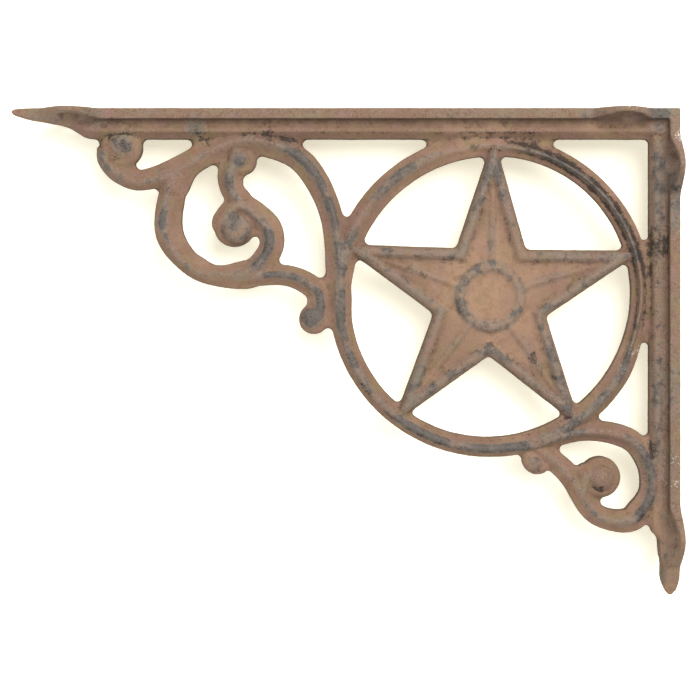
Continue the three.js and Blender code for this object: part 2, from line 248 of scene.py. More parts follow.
def pathObject(path):
    curve = bpy.data.curves.new("path", "CURVE")
    curve.dimensions = "3D"
    spline = curve.splines.new("POLY")
    spline.points.add(len(path) - 1)
    for point, (out, below, half, strength) in zip(spline.points, path):
        point.co = (*webPoint(out, below), 1.0)
        point.radius = half * mm
        point.tilt = strength
    return addObject("path", curve)


# How finely a bar is divided along its path, and round a flat and a beaded section
barSteps = {"along": 0.8, "fewestAlong": 4, "roundFlat": 24, "roundBeaded": 72}


def barMesh(path, section, flat=False):
    # A flat bar has no bead: it makes the plain web that the beaded bars lie on
    length = sum(math.dist(a[:2], b[:2]) for a, b in zip(path, path[1:]))
    edge = section["edge"] * mm
    return runTree(pathObject(path), barTree, {
        "Stations": max(int(length / barSteps["along"]), barSteps["fewestAlong"]),
        "Section Points": barSteps["roundFlat"] if flat else barSteps["roundBeaded"],
        "Edge Depth": edge,
        "Shoulder Depth": edge if flat else section["shoulder"] * mm,
        "Bevel Share": section["bevel"],
        "Bead Height": 0.0 if flat else section["bead"] * mm,
        "Bead Width": section["beadWidth"], "Bead Lean": section["lean"],
        "Back Depth": edge if flat else section["back"] * mm})


# A bar's section, where the bar doesn't say otherwise. Edge, shoulder, back and bead are in mm, and the
# bevel, the bead's width and its lean to one side are shares of the bar's half-width.
barSection = {"edge": 1.75, "shoulder": 3.0, "back": 3.0, "bead": 0.9, "bevel": 0.85, "beadWidth": 0.47,
              "lean": 0.0}
# The scrolls: paths of [out, below, half-width, strength of the bead], each with the lean of its bead
scrollPaths = {
    "arc": {"lean": -0.28, "bead": 1.25, "path": [
        (177.5, 27, 5.3, 0.3), (170.5, 18.9, 3.8, 0.4), (153.7, 12, 4.2), (137.7, 15.1, 4.2),
        (128.5, 23.3, 4.3), (121.7, 39.3, 4), (119.5, 62.6, 4.4), (119.4, 74.4, 4.5)]},
    "curl": {"lean": -0.45, "bead": 0.9, "path": [
        (165.2, 13.9, 3.5), (178.3, 21.7, 4), (189.7, 25, 3.7), (196.7, 21.7, 4.4),
        (201.3, 18.1, 3.2), (201.2, 13.8, 3.7)]},
    "spiral": {"lean": 0.5, "bead": 1.1, "path": [
        (170.4, 18.6, 3.3, 0.2), (176.4, 23.7, 4.3, 0.7), (179.6, 42.2, 4.9), (172.4, 54.1, 4),
        (163, 58.7, 3.7, 0.5), (150.4, 58, 5.1, 0)]},
    "spiralEnd": {"lean": -0.2, "bead": 1.2, "path": [
        (172.4, 54.1, 4, 0), (163, 58.7, 3.7, 0.6), (150.4, 58, 5.1), (144.6, 51.4, 4.3),
        (143.1, 45.9, 4.4), (145.4, 40, 4.4), (154.1, 33.6, 3.8), (160.4, 39.2, 3.7, 0.6),
        (161, 43, 2.6, 0)]},
    "bud": {"lean": 0.1, "bead": 1.0, "path": [
        (153.3, 16.8, 5.3, 0.4), (157.4, 22.1, 4.8), (157.2, 28.1, 4.1), (154, 32.7, 4.2, 0.8)]},
    "tail": {"lean": -0.1, "bead": 0.9, "path": [
        (156.2, 60, 3.1, 0.7), (138.7, 58.6, 3.7), (128.1, 63.3, 4), (126.1, 69, 4.5), (126.9, 75.7, 4.2)]},
    "foot": {"lean": -0.05, "bead": 1.1, "path": [
        (62, 119.4, 2), (52, 119, 2.6), (33.3, 113.7, 3.4), (17.8, 116.1, 3.9), (10.7, 124.3, 3.8),
        (9.5, 134.4, 3.7), (13.2, 142, 4.5), (17.7, 145.3, 4.2, 0.9), (25.7, 144.4, 3.7, 0.7),
        (31.1, 140.4, 3.9, 0.6), (37.8, 129.5, 3.9, 0.5), (46.8, 121.4, 3.5, 0.4),
        (50.5, 118.4, 2.8, 0)]},
    "hook": {"lean": 0.1, "bead": 0.8, "path": [
        (30.4, 141.6, 2.6, 0.6), (33.2, 136.5, 2.4), (32.9, 130.3, 4), (30.6, 127.8, 4, 0.8)]},
}
ringSizes = {"out": 66.05, "below": 65.8, "inner": 49.5, "outer": 57.0, "lean": 0.12, "bead": 1.9,
             "beadWidth": 0.24, "stepDegrees": 3, "overlapDegrees": 6, "ovalBy": 0.6, "ovalAt": 42,
             "shiftBy": 0.45, "shiftAt": 150, "dentBy": 1.1, "dentAt": 105, "dentHalf": 18}
# The ring's bead is sharp at the upper right and broad elsewhere: degrees clockwise from the top
sharpBead = {"from": 0, "to": 124, "fade": 16, "elsewhere": 0.2}
broadBead = {"from": 102, "to": 352, "fade": 24, "bead": 1.1, "beadWidth": 0.58, "lean": -0.15}


def ringEdges(step):
    # The ring's opening is a little oval and off its centre, and its outside is dented beside the wall
    inner = ringSizes["inner"]
    inner += ringSizes["ovalBy"] * math.cos(2 * math.radians(step - ringSizes["ovalAt"]))
    inner += ringSizes["shiftBy"] * math.cos(math.radians(step - ringSizes["shiftAt"]))
    fromDent = abs(step % 360 - ringSizes["dentAt"]) / ringSizes["dentHalf"]
    return inner, ringSizes["outer"] - ringSizes["dentBy"] * math.cos(min(fromDent, 1) * math.pi / 2) ** 2


def ringPath(first=0, last=360 + ringSizes["overlapDegrees"], fade=0):
    path = []
    for step in range(first, last + 1, ringSizes["stepDegrees"]):
        inner, outer = ringEdges(step)
        middle, half = (inner + outer) / 2, (outer - inner) / 2
        angle = math.radians(step)
        if fade:
            strength = min(1.0, (step - first) / fade, (last - step) / fade)
        else:
            fromStart = (step % 360 - sharpBead["from"]) / sharpBead["fade"]
            toEnd = (sharpBead["to"] - step) / sharpBead["fade"]
            strength = min(1.0, max(sharpBead["elsewhere"], min(fromStart, toEnd)))
        path.append((ringSizes["out"] - middle * math.sin(angle),
                     ringSizes["below"] - middle * math.cos(angle), half, strength))
    return path


# The border bars under the flanges. Each has a band beside its flange, a ridge, and a bevel to the
# openings. It runs out as a rib along the tip, and ends in a nose: [from the tip's end, under the face]
borderSizes = {
    "shelf": {"length": reach, "depth": 10.7, "bevel": 0.45,
              "ridgeAt": 7.7, "ridgeFromCorner": (7.0, 9.5), "ridgeAtTip": 1.0,
              "section": {"shoulder": 3.5, "bead": 0.6, "beadWidth": 0.14},
              "rib": ((30, 10.8), (27, 10.2), (24.5, 8.6), (21, 6.8), (17, 5.6), (11, 4.5), (5, 3.4),
                      (1.5, 2.4), (0.4, 1.7)),
              "nose": ((0.4, 0.5), (1.5, 0))},
    "wall": {"length": height, "depth": 10.0, "bevel": 0.3,
             "ridgeAt": 7.2, "ridgeFromCorner": (9.0, 12.0), "ridgeAtTip": 0.1,
             "section": {"shoulder": 3.0, "bead": 1.1, "beadWidth": 0.34},
             "rib": ((30, 10.8), (27, 10.2), (23.7, 9.4), (21, 7.1), (16, 6.4), (10, 5.8), (4, 5),
                     (1, 3.9), (0.4, 3.4)),
             "nose": ((0.3, 2.1), (2, 0.8), (6, 0))},
}
# Where a border starts from the corner, and where its ridge fades before the tip's end
borderRun = {"start": 3.0, "ridgeFade": (56, 44)}


def alongTip(points, fromTip):
    spans = sorted(points)
    return float(np.interp(fromTip, [span[0] for span in spans], [span[1] for span in spans]))


def borderPath(border, onWall):
    length, depth = border["length"], border["depth"]
    ridgeNone, ridgeFull = border["ridgeFromCorner"]
    fadeStart, fadeEnd = borderRun["ridgeFade"]
    atTip = border["ridgeAtTip"]
    stretch = [(borderRun["start"], 0.0, depth, 0.0), (ridgeNone, 0.0, depth, 0.0),
               (ridgeFull, 0.0, depth, 1.0), (length - fadeStart, 0.0, depth, 1.0),
               (length - fadeEnd, 0.0, depth, atTip)]
    for fromTip, below in border["rib"]:
        stretch.append((length - fromTip, alongTip(border["nose"], fromTip), min(below, depth), atTip))
    path = []
    for along, top, below, strength in stretch:
        middle, half = (below + top) / 2, (below - top) / 2
        path.append((middle, along, half, strength) if onWall else (along, middle, half, strength))
    return path


# Solids with straight or round outlines, built with bmesh
def closedSolid(name, rings, closed=False):
    # Rings of points, joined side to side. The first and last are capped unless the loop closes.
    mesh = bpy.data.meshes.new(name)
    work = bmesh.new()
    rows = [[work.verts.new(point) for point in ring] for ring in rings]
    pairs = list(zip(rows, rows[1:]))
    if closed:
        pairs.append((rows[-1], rows[0]))
    for lower, upper in pairs:
        count = len(lower)
        for i in range(count):
            j = (i + 1) % count
            work.faces.new((lower[i], lower[j], upper[j], upper[i]))
    if not closed:
        work.faces.new(list(reversed(rows[0])))
        work.faces.new(rows[-1])
    bmesh.ops.recalc_face_normals(work, faces=work.faces)
    work.to_mesh(mesh)
    work.free()
    return mesh


def turnedMesh(profile, out, below, segments=56):
    # A round form from [radius, depth] points, back to front
    rings = []
    for radius, depth in profile:
        ring = []
        for i in range(segments):
            angle = 2 * math.pi * i / segments
            ring.append(webPoint(out + radius * math.cos(angle), below + radius * math.sin(angle), depth))
        rings.append(ring)
    return closedSolid("turned", rings)


# The knobs at the scroll ends: a rim with a dome, which may sit off the rim's centre and be soft or round
knobRim = {"shoulder": 2.9, "bevel": 1.4, "domeSteps": 10, "domeFlat": 0.02}
knobs = {
    "curl": {"rim": (196.1, 13.5, 7.4), "dome": (195.7, 12.7, 4.9), "depth": 3.9, "softness": 0.7},
    "spiral": {"rim": (156.3, 41.5, 7.2), "dome": (155.6, 42.3, 5.4), "depth": 5.2, "softness": 0.5},
    "bud": {"rim": (153.5, 18.3, 5.0), "dome": (154.9, 17.3, 3.4), "depth": 4.4, "softness": 0.6},
    "tail": {"rim": (128.2, 74.1, 5.3), "dome": (129.0, 73.8, 3.9), "depth": 4.5, "softness": 0.6},
    "foot": {"rim": (27.3, 129.8, 7.2), "dome": (26.6, 130.2, 4.2), "depth": 5.0, "softness": 0.8},
    "footBud": {"rim": (49.5, 123.6, 5.3), "dome": (50.4, 124.6, 3.4), "depth": 4.0, "softness": 1.2},
}


def knobMeshes(knob):
    out, below, radius = knob["rim"]
    bevel, shoulder = knobRim["bevel"], knobRim["shoulder"]
    rim = [(radius - bevel, -barSection["back"]), (radius, -barSection["edge"]),
           (radius, barSection["edge"]), (radius - bevel / 3, (barSection["edge"] + shoulder) / 2),
           (radius - bevel, shoulder)]
    out2, below2, domeRadius = knob["dome"]
    steps = knobRim["domeSteps"]
    dome = [(domeRadius, 0.0)]
    for i in range(steps):
        share = math.cos(i / steps * math.pi / 2)
        rise = (1 - share ** 2) ** knob["softness"]
        dome.append((domeRadius * share, shoulder + (knob["depth"] - shoulder) * rise))
    dome.append((knobRim["domeFlat"], knob["depth"]))
    return [turnedMesh(rim, out, below), turnedMesh(dome, out2, below2)]


# The star: slab, raised border, sunk field, ridges on the arms, and a boss with a dished middle.
# The border is [inset, depth], a rib [from the centre, half-width, depth], and the boss [radius, depth].
starSizes = {"out": 66.05, "below": 66.2, "turnDegrees": -1.3, "tip": 56.6, "notch": 20.9,
             "border": ((0.2, 1.4), (0.5, 2.7), (1.0, 3.3), (2.0, 3.7), (3.1, 3.7), (3.9, 3.1), (4.8, 2.2),
                        (4.9, 1.4)),
             "backInset": 1.5, "backFootInset": 0.4, "overlap": 0.1,
             "field": 2.3, "fieldEdge": 1.0, "fieldInset": 4.0,
             "ridgeFoot": 1.2, "ridgeStart": 9.7, "ridgeTop": 3.2, "ridgeSink": 0.05,
             "rib": ((9.7, 2.0, 3.6), (20, 1.7, 3.5), (32, 1.2, 3.0), (44, 0.3, 2.4)), "ribSteps": 8}
bossSizes = ((12.9, 0.0), (12.9, 2.4), (12.3, 3.2), (11.4, 3.8), (10.3, 4.0), (9.3, 3.7), (8.5, 3.1),
             (0.02, 3.0))


def starOutline(inset):
    notchHalf = math.pi / 5
    tip, notch = starSizes["tip"], starSizes["notch"]
    tipHalf = math.atan2(notch * math.sin(notchHalf), tip - notch * math.cos(notchHalf))
    return tip - inset / math.sin(tipHalf), notch - inset / math.sin(math.pi - tipHalf - notchHalf)


def starRing(inset, depth):
    tip, notch = starOutline(inset)
    ring = []
    for i in range(10):
        angle = i * math.pi / 5 - math.radians(starSizes["turnDegrees"])
        radius = notch if i % 2 else tip
        ring.append(webPoint(starSizes["out"] - radius * math.sin(angle),
                             starSizes["below"] - radius * math.cos(angle), depth))
    return ring


def pyramidMesh(outline, tops, foot):
    # A prism over an outline of (x, z) points, each with its own depth of top
    mesh = bpy.data.meshes.new("pyramid")
    work = bmesh.new()
    low = [work.verts.new(Vector((x, -foot, z)) * mm) for x, z in outline]
    high = [work.verts.new(Vector((x, -top, z)) * mm) for (x, z), top in zip(outline, tops)]
    for i in range(len(outline)):
        j = (i + 1) % len(outline)
        work.faces.new((low[i], low[j], high[j], high[i]))
    work.faces.new(list(reversed(low)))
    bmesh.ops.triangulate(work, faces=[work.faces.new(high)])
    bmesh.ops.recalc_face_normals(work, faces=work.faces)
    work.to_mesh(mesh)
    work.free()
    return mesh


def starRidgeMesh():
    # One arm's ridge about the centre, pointing up from under the boss to the tip, in two facets
    tip, notch = starOutline(starSizes["fieldInset"])
    side = (notch * math.sin(math.pi / 5), notch * math.cos(math.pi / 5))
    start, foot = starSizes["ridgeStart"], starSizes["ridgeFoot"]
    field, top = starSizes["field"] - starSizes["ridgeSink"], starSizes["ridgeTop"]
    return [pyramidMesh([(0.0, start), (sign * side[0], side[1]), (0.0, tip)], (top, field, field), foot)
            for sign in (1, -1)]


def starRibMesh():
    # The narrow rib along an arm's ridge, round across
    rings = []
    foot, steps = starSizes["ridgeFoot"], starSizes["ribSteps"]
    for along, half, top in starSizes["rib"]:
        ring = []
        for i in range(steps + 1):
            turn = math.pi * i / steps
            depth = foot + (top - foot) * math.sin(turn)
            ring.append(Vector((half * math.cos(turn), -depth, along)) * mm)
        rings.append(ring)
    return closedSolid("star rib", rings)


def starSlab():
    return closedSolid("star slab", [starRing(0, -barSection["edge"]), starRing(0, barSection["edge"])])


def starMeshes():
    back = closedSolid("star back", [
        starRing(starSizes["backInset"], -barSection["back"]),
        starRing(starSizes["backFootInset"], -barSection["edge"] + starSizes["overlap"])])
    field = closedSolid("star field", [
        starRing(starSizes["fieldEdge"], depth) for depth in (0, starSizes["field"])])
    border = closedSolid("star border", [starRing(*step) for step in starSizes["border"]], closed=True)
    ridges = runTree(joined("ridge", [*starRidgeMesh(), starRibMesh()]), roundTree, {
        "Count": 5, "Turn": -math.radians(starSizes["turnDegrees"]),
        "Centre": webPoint(starSizes["out"], starSizes["below"])})
    boss = turnedMesh(bossSizes, starSizes["out"], starSizes["below"], segments=96)
    return [boss, starSlab(), back, field, border, ridges]


# The flanges: strip, ears and a rounded tip. An ear thins towards its rim, with a gusset round each screw.
flangeSizes = {"half": 7.0, "edge": 3.7, "tipLength": 18.0, "tipBlunt": 0.4, "thinnest": 0.3,
               "earHalf": 16.0, "rim": 1.75, "earLength": 22.0, "earFromCorner": 20.0, "earFromTip": 21.5,
               "bulge": 1.3, "gussetHalf": 9.5, "gussetRoot": 2.5, "gussetSteep": 1.6, "gussetFull": 3,
               "mergeStart": 15.0, "mergeLength": 9.0, "fillet": 1.3, "filletOut": 5.2, "filletWidth": 2.0,
               "step": 0.8, "across": 48}
holeSizes = {"middle": 9.8, "through": 2.7, "sink": 4.3, "land": 0.6, "over": 1.5, "sides": 40,
             "shelf": 17.5, "wall": 19.8, "fromTip": 22.0}


def flangeHalf(along, length):
    fromTip = length - along
    half = flangeSizes["half"]
    if fromTip < flangeSizes["tipLength"]:
        half *= math.sqrt(max(1 - (1 - fromTip / flangeSizes["tipLength"]) ** 2, 0))
    for ear in (flangeSizes["earFromCorner"], length - flangeSizes["earFromTip"]):
        offset = abs(along - ear) / (flangeSizes["earLength"] / 2)
        if offset < 1:
            bulge = math.cos(offset * math.pi / 2) ** flangeSizes["bulge"]
            half += (flangeSizes["earHalf"] - flangeSizes["half"]) * bulge
    return half


def flangeSlope():
    return (flangeSizes["edge"] - flangeSizes["rim"]) / (flangeSizes["earHalf"] - flangeSizes["half"])


def flangeThickness(along, across, border):
    length, half = border["length"], flangeSizes["half"]
    thick = flangeSizes["edge"] - flangeSlope() * max(abs(across) - half, 0)
    for ear in (flangeSizes["earFromCorner"], length - flangeSizes["earFromTip"]):
        offset = abs(along - ear) / flangeSizes["gussetHalf"]
        if offset < 1:
            inward = max(half - max(abs(across), flangeSizes["gussetRoot"]), 0)
            gusset = min(1, flangeSizes["gussetFull"] * (1 - offset ** 2))
            thick += flangeSizes["gussetSteep"] * flangeSlope() * inward * gusset
    inFillet = (flangeSizes["filletOut"] - abs(across)) / flangeSizes["filletWidth"]
    thick += flangeSizes["fillet"] * min(max(inFillet, 0), 1) ** 2
    rib = alongTip(border["rib"], length - along)
    merged = min(max((flangeSizes["mergeStart"] - (length - along)) / flangeSizes["mergeLength"], 0), 1)
    return min(thick, rib) + merged * max(rib - thick, 0)


def flangePoint(along, under, across, onWall):
    # Along the flange from the corner, under its face, across towards the front
    return webPoint(under, along, across) if onWall else webPoint(along, under, across)


def flangeMesh(border, onWall):
    length, columns = border["length"], flangeSizes["across"]
    rings = []
    last = length - flangeSizes["tipBlunt"]
    count = int(last / flangeSizes["step"])
    for i in range(count + 1):
        along = last * i / count
        half = flangeHalf(along, length)
        top = alongTip(border["nose"], length - along)
        ring = []
        for j in range(columns + 1):
            ring.append(flangePoint(along, top, half * (2 * j / columns - 1), onWall))
        for j in range(columns + 1):
            across = half * (1 - 2 * j / columns)
            under = max(flangeThickness(along, across, border), top + flangeSizes["thinnest"])
            ring.append(flangePoint(along, under, across, onWall))
        rings.append(ring)
    return closedSolid("flange", rings)


def holeCutters(border, holeAlong, onWall):
    through, sink = holeSizes["through"], holeSizes["sink"]
    land, over = holeSizes["land"], holeSizes["over"]
    inner = flangeSizes["edge"] - flangeSlope() * (holeSizes["middle"] - flangeSizes["half"])
    flare = (sink - through) / (inner - land)
    profile = ((through, -over), (through, land), (sink + flare * over, inner + over))
    turns = [2 * math.pi * i / holeSizes["sides"] for i in range(holeSizes["sides"])]
    cutters = []
    for along in (holeAlong, border["length"] - holeSizes["fromTip"]):
        for middle in (-holeSizes["middle"], holeSizes["middle"]):
            rings = []
            for radius, under in profile:
                rings.append([flangePoint(along + radius * math.cos(turn), under,
                                          middle + radius * math.sin(turn), onWall) for turn in turns])
            cutters.append(closedSolid("hole", rings))
    return cutters


def joined(name, meshes):
    work = bmesh.new()
    for mesh in meshes:
        work.from_mesh(mesh)
        bpy.data.meshes.remove(mesh)
    whole = bpy.data.meshes.new(name)
    work.to_mesh(whole)
    work.free()
    return addObject(name, whole)


def cutWith(piece, cutter):
    cut = piece.modifiers.new("cut", "BOOLEAN")
    cut.operation = "DIFFERENCE"
    cut.solver = "EXACT"
    cut.object = cutter
    mesh = bakedMesh(piece)
    for used in (piece, cutter):
        bpy.data.objects.remove(used)
    return mesh


def flangeWithHoles(border, holeAlong, onWall):
    flange = addObject("flange", flangeMesh(border, onWall))
    return cutWith(flange, joined("holes", holeCutters(border, holeAlong, onWall)))


# Casting: the plain web is closed up at its corners, then everything is melted into one skin
castSizes = {"webVoxel": 0.55, "cornerFillet": 1.0, "voxel": 0.38, "smoothTimes": 3, "smoothFactor": 0.45,
             "sandSize": 0.9, "sandHeight": 0.16, "waveSize": 7.0, "waveHeight": 0.3,
             "mostTriangles": 190000}


def remeshed(piece, voxel):
    melt = piece.modifiers.new("melt", "REMESH")
    melt.mode = "VOXEL"
    melt.voxel_size = voxel * mm
    melt.adaptivity = 0.0


def shifted(piece, distance):
    shift = piece.modifiers.new("shift", "DISPLACE")
    shift.strength = distance * mm
    shift.mid_level = 0.0


def filletedWeb(meshes):
    web = joined("web", meshes)
    remeshed(web, castSizes["webVoxel"])
    shifted(web, castSizes["cornerFillet"])
    remeshed(web, castSizes["webVoxel"])
    shifted(web, -castSizes["cornerFillet"])
    mesh = bakedMesh(web)
    bpy.data.objects.remove(web)
    return mesh


def barsWithSections():
    # Every bar of the web as a path and its section: scrolls, the ring with its two beads, and borders
    bars = []
    for scroll in scrollPaths.values():
        section = {**barSection, "lean": scroll["lean"], "bead": scroll["bead"]}
        bars.append((smoothPath(scroll["path"]), section))
    for sizes, path in ((ringSizes, ringPath()),
                        (broadBead, ringPath(broadBead["from"], broadBead["to"], broadBead["fade"]))):
        bars.append((path, {**barSection, **{name: sizes[name] for name in ("lean", "bead", "beadWidth")}}))
    for name, border in borderSizes.items():
        onWall = name == "wall"
        lean = (2 * border["ridgeAt"] / border["depth"] - 1) * (1 if onWall else -1)
        section = {**barSection, **border["section"], "bevel": border["bevel"], "lean": lean}
        bars.append((borderPath(border, onWall), section))
    return bars


def castBracket():
    bars = barsWithSections()
    starParts = starMeshes()
    flat = [barMesh(path, section, flat=True) for path, section in bars]
    flat.append(starSlab())
    for knob in knobs.values():
        out, below, radius = knob["rim"]
        flat.append(turnedMesh([(radius, -barSection["edge"]), (radius, barSection["edge"])], out, below))
    web = filletedWeb(flat)
    print("web closed up:", len(web.vertices), "vertices")
    solids = [web] + starParts + [barMesh(path, section) for path, section in bars]
    for knob in knobs.values():
        solids += knobMeshes(knob)
    for name, border in borderSizes.items():
        solids.append(flangeWithHoles(border, holeSizes[name], name == "wall"))
    casting = joined("casting", solids)
    remeshed(casting, castSizes["voxel"])
    soften = casting.modifiers.new("soften", "SMOOTH")
    soften.factor = castSizes["smoothFactor"]
    soften.iterations = castSizes["smoothTimes"]
    mesh = bakedMesh(casting)
    bpy.data.objects.remove(casting)
    print("casting melted:", len(mesh.polygons), "faces")
    return mesh


def withSkin(mesh, material):
    skin = addObject("skin", mesh)
    return runTree(skin, skinTree, {
        "Sand Size": castSizes["sandSize"] * mm, "Sand Height": castSizes["sandHeight"] * mm,
        "Wave Size": castSizes["waveSize"] * mm, "Wave Height": castSizes["waveHeight"] * mm,
        "Material": material})


def thinned(mesh):
    heavy = addObject("heavy", mesh)
    faces = sum(len(face.vertices) - 2 for face in mesh.polygons)
    thin = heavy.modifiers.new("thin", "DECIMATE")
    thin.ratio = min(1.0, castSizes["mostTriangles"] / faces)
    light = bakedMesh(heavy)
    bpy.data.objects.remove(heavy)
    return light


def keepInside(mesh):
    # The skin's unevenness stays inside the CAD solid's box
    places = np.clip(threeEach(mesh.vertices, "co"), np.array(frameLow), np.array(frameHigh))
    mesh.vertices.foreach_set("co", places.ravel())
    mesh.update()


# Where the casting is rubbed, where dirt sits, and where shade is painted on the sides. A pair is where
# something starts and where it is full.
# The rise is how far, in mm, the skin stands out of its own average, over a near and a far reach.
# What stands deeper than the star's field, or the bars' shoulders elsewhere, is open to rubbing.
wearSizes = {"nearTimes": 5, "farTimes": 28, "rubbedAbove": 0.6,
             "starLevel": 2.5, "starBand": (3.7, 4.6), "bossRise": (8.0, 9.3), "bossFall": (12.3, 13.6),
             "starRub": 0.9, "barLevel": 3.05, "wallOut": (8.9, 9.9), "wallRub": 0.95,
             "shelfLevel": 3.7, "shelfBelow": (8.6, 9.4), "shelfOut": (9.0, 11.0),
             "onFlange": (4.6, 5.0), "underFlange": (4.4, 5.0), "flangeRub": 0.55, "flangePale": -0.5,
             "flankShade": (0.35, 0.85), "flangeFlankShade": 0.2, "chipAndGlintFacing": (0.2, 0.6),
             "front": (0.5, 2.0), "backRub": 0.95, "backEdge": (0.08, 0.45), "backDirt": 0.38}
# Dark lines in grooves and creases: beside the ring's bead as (from, to, offset, width, strength), in
# degrees clockwise from the top, and along the border bars and the star's border as (from the edge, width,
# strength).
# On the wall's border the broad line over its ridge and the thin line in the crease under its flange are
# painted shade.
grooveSizes = {"fade": 14,
               "ring": ((14, 98, 1.75, 0.95, 1.0), (14, 104, -1.2, 0.45, 0.8), (176, 232, 2.3, 0.5, 0.85),
                        (150, 200, -1.9, 0.4, 0.6)),
               "shelf": ((8.5, 0.4, 0.6),),
               "wall": ((9.3, 0.5, 0.5), (7.3, 1.6, 0.42), (3.9, 0.3, 0.5)),
               "star": (4.1, 0.4, 0.62), "fromCorner": (3.0, 5.0), "fromTip": (44.0, 34.0)}
# Streaks down the star's arms, clockwise from the top one: how far out each is, and how strong
armRubSizes = {"middles": (20.0, 22.0, 24.0, 20.0, 24.0), "halfLength": 8.0, "halfWidth": 1.7,
               "strengths": (0.75, 0.7, 0.65, 0.45, 0.6)}
armDirtSizes = {"middles": (25.0, 23.0, 28.0, 25.0, 27.0), "halfLength": 6.5, "halfWidth": 1.3,
                "strengths": (0.2, 0.45, 0.75, 0.2, 0.6)}
# Single places of wear and dirt, of pale rust, and of painted light: white highlights among the chips and
# lighter faces on two ears, as the photo shows them: [out, below, radius, strength]
wearPlaces = {
    "dirtPlace": (
        (9, 47.5, 6, 1.0), (10, 56, 4, 0.5), (9.5, 120, 3.5, 0.9), (12.5, 142.5, 3.5, 0.9),
        (73, 10.7, 5, 0.6), (62.5, 11, 6, 0.65), (52, 12.3, 5, 0.7), (43, 15, 4.5, 0.65),
        (37.5, 20, 4, 0.6), (30, 27, 4, 0.55), (23, 35, 4, 0.55), (17.5, 44, 4, 0.5), (197, 9.5, 7, 0.7),
        (151, 9.2, 3, 0.65), (144, 9.6, 3.2, 0.95), (138, 11.8, 3.6, 1.0), (133.5, 15, 3, 0.8),
        (179.8, 29.3, 2.6, 0.9), (167, 10.4, 3, 0.85), (13, 55, 4, 0.7), (39.5, 111, 4, 0.8),
        (28, 133.5, 2.2, 1.0), (50.5, 126.5, 2.2, 1.0), (29, 2.5, 2.2, 0.7), (52.5, 88, 3.0, 0.5),
        (80, 54, 5.0, 0.3), (1.5, 143.5, 3.2, 0.8), (195, 9.8, 2.6, 1.0), (199.5, 9.8, 2.6, 0.9),
        (197.2, 16.6, 1.7, 1.0), (1.7, 28.5, 1.8, 0.9), (114, 96, 6, 0.4), (100, 110, 6, 0.3)),
    "rubPlace": (
        (118, 50, 9, 0.9), (117, 72, 9, 0.9), (114, 92, 9, 0.9), (90, 114, 10, 1.5), (66, 119, 12, 1.7),
        (40, 114, 8, 0.7), (123, 38, 8, 0.9), (131, 20, 10, 1.2), (138, 59, 8, 1.1), (127, 68, 7, 1.1),
        (9.5, 126, 5, 1.0), (11, 138, 5, 1.0), (6.5, 30, 12, 0.3), (19.9, 92.4, 7, 0.9),
        (28.4, 103.5, 7, 0.8), (39.4, 112, 7, 1.0), (8, 2, 6, 1.0), (-2, 35, 11, 1.0), (181, 36, 8, 0.9),
        (146, 48, 7, 0.9), (155, 26, 6, 0.7), (66, 66, 52, 0.25), (66, 17, 7, 1.0), (42, 40, 12, 0.4),
        (44, 17, 6, 1.0), (35, 23, 6, 1.1), (27, 30, 6, 1.1), (20, 39, 6, 1.1), (15, 49, 6, 1.1),
        (95, 100, 12, 0.5), (100, 25, 10, 0.7), (196, 14, 8, 0.4), (48, 88, 7, 0.7)),
    # Pale chips at edges; the specks on the ring's lower right crest and far out on the shelf's flange are
    # painted highlights
    "chipAndGlintPlace": (
        (18.5, 0, 2.5, 0.9), (11.5, 1, 2.2, 0.8), (0, 9.5, 3.5, 1.0), (-3.2, 21, 5, 1.0),
        (-1.5, 150, 3.5, 0.8), (0, 44, 3, 0.6), (62, 23, 2, 0.7), (16, 84.5, 4, 0.8), (19, 91, 3, 0.7),
        (190, 1.5, 7, 0.5), (230, 2, 4, 0.4), (2.3, 123, 3.5, 0.75), (2.3, 131, 4, 0.75)),
    "greyPlace": (
        (170, 6.3, 4, 0.8), (6.3, 1.2, 3.1, 1.0), (196.8, 11.5, 3, 0.35), (32.5, 2, 3, 0.5),
        (182, 22.5, 2.5, 0.5), (205, 2.5, 5, 0.6), (0, 34, 4, 0.6), (9, 24, 11, 0.4), (9, 36, 8, 0.3),
        (9, 100, 12, 0.4), (9, 128, 12, 0.4), (203.6, 17, 2.3, 0.9), (201.8, 22, 2.4, 0.9),
        (197.5, 26.3, 2.4, 0.7), (182.3, 40, 3, 0.6), (138, 13, 3.2, 0.45), (133.2, 17.1, 3.2, 0.5),
        (128.8, 21.5, 3.2, 0.5), (125.7, 27, 3.2, 0.45), (123.6, 33.5, 3, 0.4), (154.4, 18.2, 2.6, 0.85),
        (158, 24.2, 2.2, 0.6), (156.3, 40.4, 3.3, 0.6), (145, 46, 3, 0.6), (148.4, 54, 3.4, 0.6),
        (129.4, 74, 2.8, 0.5)),
    # Paler rust; the last two, on the ears nearest the corner, are painted light on faces that would lie in
    # shade
    "paleAndPaintedLightPlace": (
        (66, 66, 9.4, 0.9), (66, 66, 26, 0.85), (150, 50, 22, 0.25), (224, 3, 14, 0.9), (3, 158, 16, 1.0),
        (26, 2, 10, 0.6), (0, 24, 9, 0.6)),
}


def averaged(values, edges, weights, times):
    for _ in range(times):
        total = np.empty_like(values)
        for axis in range(values.shape[1]):
            column = values[:, axis]
            total[:, axis] = np.bincount(edges[:, 0], column[edges[:, 1]], len(column))
            total[:, axis] += np.bincount(edges[:, 1], column[edges[:, 0]], len(column))
        values = (values + total / weights[:, None]) / 2
    return values


def setAttribute(mesh, name, values):
    layer = mesh.attributes.new(name, "FLOAT", "POINT")
    layer.data.foreach_set("value", values.astype(np.float32))


